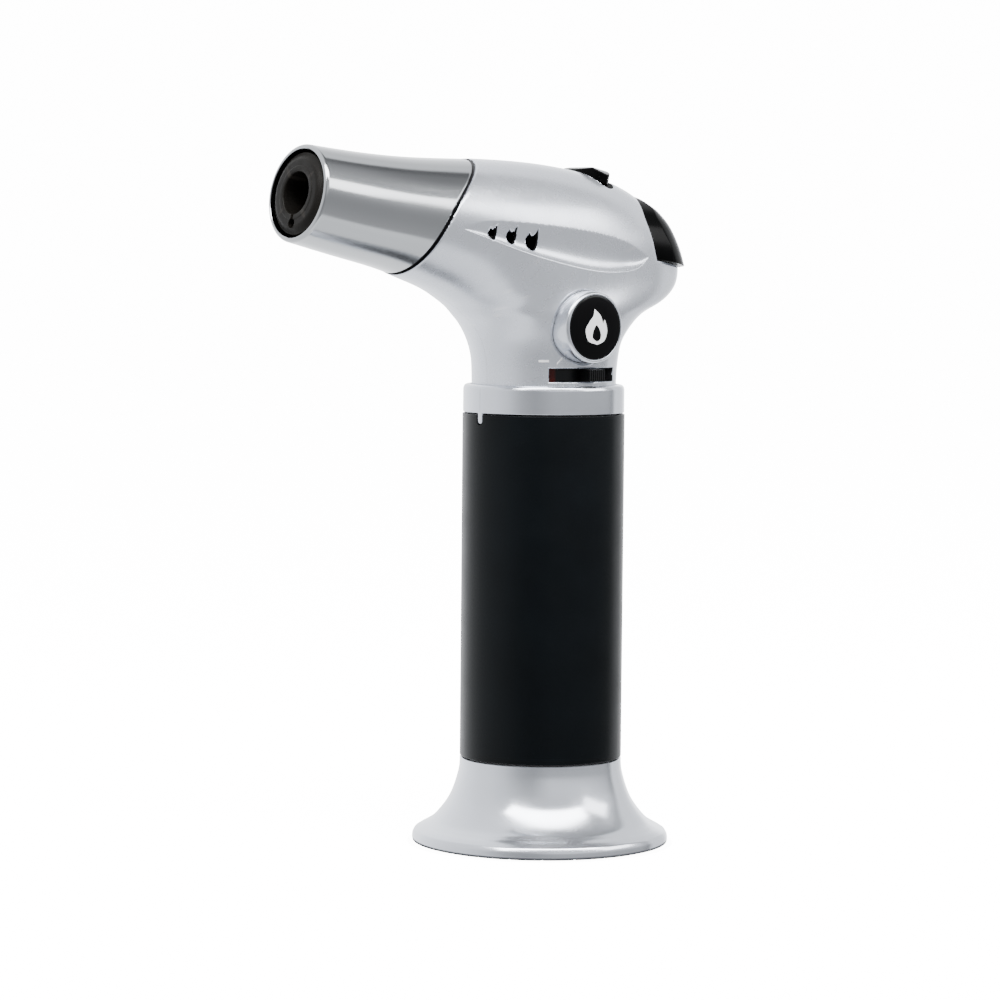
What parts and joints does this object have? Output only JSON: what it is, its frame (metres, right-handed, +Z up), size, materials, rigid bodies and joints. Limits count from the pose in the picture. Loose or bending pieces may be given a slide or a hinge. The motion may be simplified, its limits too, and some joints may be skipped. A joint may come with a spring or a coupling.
{
  "type": "butane torch",
  "caption": "Hand-held butane torch with a cylindrical tank grip on a flared foot, an angled pistol head, a chromed flame guard, a thumb trigger and a flame adjuster.",
  "frame": {"origin": "centre of the bounding box at the floor, under the foot pad ring", "axes": "+Z up along the tank axis, the nozzle points along -X and the round lock button and flame adjuster face -Y"},
  "size_m": [0.1212, 0.0654, 0.1758],
  "materials": {
    "silver_paint_plastic": "satin metallic silver paint over moulded plastic",
    "silver_paint_metal": "satin metallic silver paint",
    "chrome_guard": "polished, with a fine lengthwise grain",
    "black_grip": "soft satin black",
    "black_gloss": "glossy black",
    "badge_epoxy": "clear-domed glossy black",
    "black_rubber": "matt black",
    "lead_insulation": "matt black insulation",
    "dark_metal": "heat-darkened",
    "steel": "plain bright steel",
    "brass": "machined",
    "tank_plastic": "translucent grey, drawn opaque",
    "white_plastic": "natural white",
    "wick_fibre": "woven fibre",
    "ceramic": "glazed",
    "red_plastic": "red moulded"
  },
  "bodies": {
    "torch_body": {"housing_left": "silver_paint_plastic", "housing_right": "silver_paint_plastic", "base_foot": "silver_paint_metal", "collar_ring": "silver_paint_metal", "flame_guard": "chrome_guard", "tank_sleeve": "black_grip", "button_seat": "black_gloss", "foot_pad_ring": "black_rubber", "refill_valve_seal": "black_rubber", "outlet_valve_seal": "black_rubber", "ignition_lead": "lead_insulation", "nozzle_insert": "dark_metal", "burner_holder": "dark_metal", "housing_screw_1": "steel", "housing_screw_2": "steel", "housing_screw_3": "steel", "refill_valve_spring": "steel", "outlet_valve_spring": "steel", "piezo_spring": "steel", "button_spring": "steel", "valve_lever_pin": "steel", "electrode": "steel", "mixing_tube": "steel", "refill_valve_body": "brass", "outlet_valve_body": "brass", "flame_holder": "brass", "gas_jet": "brass", "fuel_tank": "tank_plastic", "tank_cap": "tank_plastic", "gas_tube": "white_plastic", "dip_wick": "wick_fibre", "electrode_insulator": "ceramic", "piezo_body": "red_plastic"},
    "trigger": {"trigger": "black_gloss"},
    "piezo_plunger": {"piezo_plunger": "white_plastic"},
    "valve_lever": {"valve_lever": "steel"},
    "outlet_stem": {"outlet_valve_stem": "brass"},
    "safety_slider": {"safety_slider": "black_gloss", "slider_keeper": "black_gloss"},
    "flame_adjuster": {"flame_adjust_lever": "black_gloss", "flow_regulator": "brass"},
    "lock_button": {"lock_button": "silver_paint_metal", "badge_dome": "badge_epoxy"},
    "refill_stem": {"refill_valve_stem": "white_plastic"}
  },
  "joints": [
    {"name": "trigger_slide", "type": "slide", "parent": "torch_body", "child": "trigger", "axis": [-0.9925, 0, 0.1219], "range_m": [0, 0.004], "stiffness_N_per_m": 3500, "springref_m": -0.0008},
    {"name": "plunger_slide", "type": "slide", "parent": "torch_body", "child": "piezo_plunger", "axis": [-0.9925, 0, 0.1219], "range_m": [0, 0.004]},
    {"name": "valve_lever_pivot", "type": "hinge", "parent": "torch_body", "child": "valve_lever", "pos_m": [0.01213, 0, 0.128], "axis": [0, -1, 0], "range_deg": [0, 9]},
    {"name": "outlet_stem_lift", "type": "slide", "parent": "torch_body", "child": "outlet_stem", "axis": [0, 0, 1], "range_m": [0, 0.00095], "deforming": ["outlet_valve_spring"]},
    {"name": "safety_slider_slide", "type": "slide", "parent": "torch_body", "child": "safety_slider", "axis": [0.9781, 0, -0.2079], "range_m": [0, 0.0015]},
    {"name": "flame_adjust_turn", "type": "hinge", "parent": "torch_body", "child": "flame_adjuster", "pos_m": [0.01813, 0, 0.1198], "axis": [0, 0, 1], "range_deg": [-27, 25]},
    {"name": "lock_button_press", "type": "slide", "parent": "torch_body", "child": "lock_button", "axis": [0, 1, 0], "range_m": [0, 0.0025], "stiffness_N_per_m": 900, "springref_m": -0.001},
    {"name": "refill_stem_press", "type": "slide", "parent": "torch_body", "child": "refill_stem", "axis": [0, 0, 1], "range_m": [0, 0.0015], "stiffness_N_per_m": 1500, "springref_m": -0.001, "deforming": ["refill_valve_spring"]}
  ],
  "couplings": [
    {"joint": "plunger_slide", "follows": "trigger_slide", "ratio": 1},
    {"joint": "valve_lever_pivot", "follows": "trigger_slide", "rad_per_m": 38.9},
    {"joint": "outlet_stem_lift", "follows": "trigger_slide", "ratio": 0.225}
  ]
}
